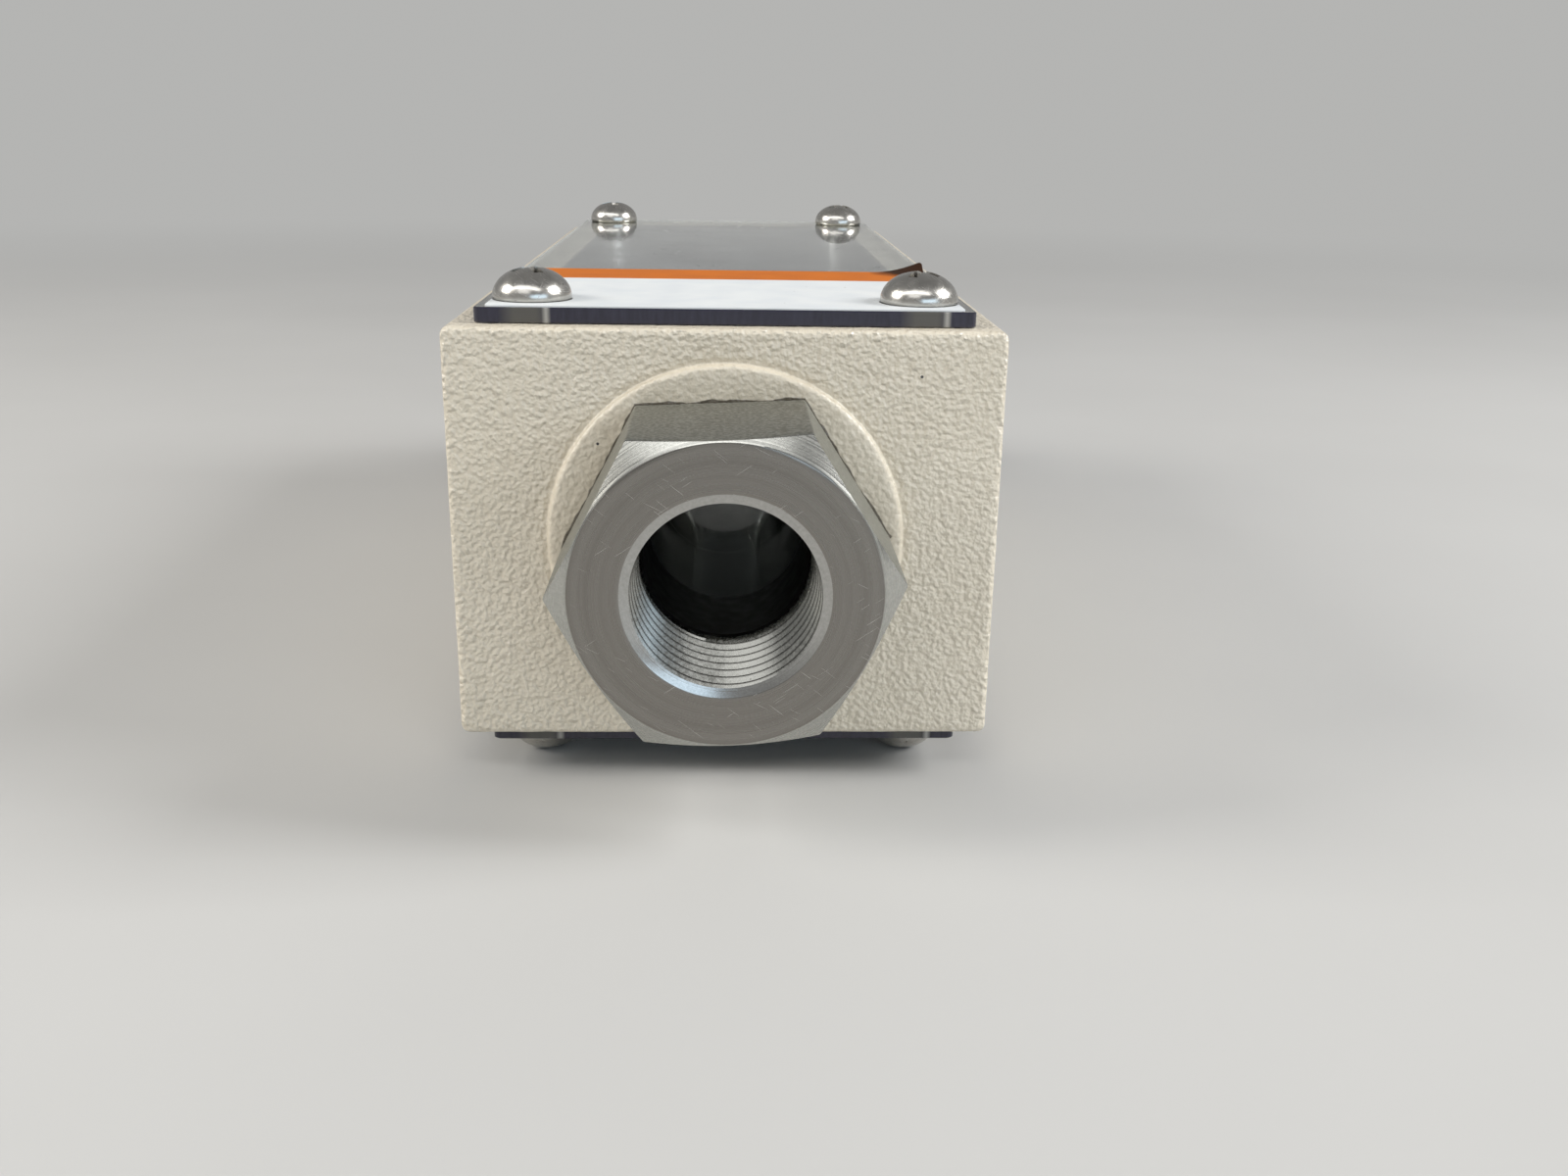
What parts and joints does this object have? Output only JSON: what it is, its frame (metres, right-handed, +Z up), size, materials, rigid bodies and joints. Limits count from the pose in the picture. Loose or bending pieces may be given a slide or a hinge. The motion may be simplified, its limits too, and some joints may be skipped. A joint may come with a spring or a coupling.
{
  "type": "sight glass",
  "caption": "In-line tubular sight glass: glass tube in a rectangular housing with clear shields and hex pipe-thread ends.",
  "frame": {"origin": "middle of the flow axis, which is the centre of the object's box", "axes": "+Y along the flow axis from the inlet port to the outlet port, +Z up through the top shield, +X to the right as seen from the inlet"},
  "size_m": [0.0616, 0.185, 0.058],
  "materials": {
    "painted_metal": "textured off-white powder coat",
    "stainless_steel": "turned faces and drawn flats, unpolished",
    "screw_steel": "bright stainless",
    "tube_glass": "clear borosilicate tube",
    "shield_plastic": "clear polycarbonate sheet with dark bluish edges",
    "label_film": "blank white film with a plain orange band",
    "seal_rubber": "smooth black",
    "seal_plastic": "white fluoropolymer"
  },
  "bodies": {
    "root": {"housing": "painted_metal", "glass_tube": "tube_glass", "inlet_fitting": "stainless_steel", "outlet_fitting": "stainless_steel", "inlet_cushion": "seal_plastic", "outlet_cushion": "seal_plastic", "inlet_tube_ring": "seal_rubber", "outlet_tube_ring": "seal_rubber", "inlet_ring_washer": "seal_plastic", "outlet_ring_washer": "seal_plastic", "top_shield": "shield_plastic", "bottom_shield": "shield_plastic", "label": "label_film", "top_screw_1": "screw_steel", "top_screw_2": "screw_steel", "top_screw_3": "screw_steel", "top_screw_4": "screw_steel", "bottom_screw_1": "screw_steel", "bottom_screw_2": "screw_steel", "bottom_screw_3": "screw_steel", "bottom_screw_4": "screw_steel"}
  },
  "joints": []
}
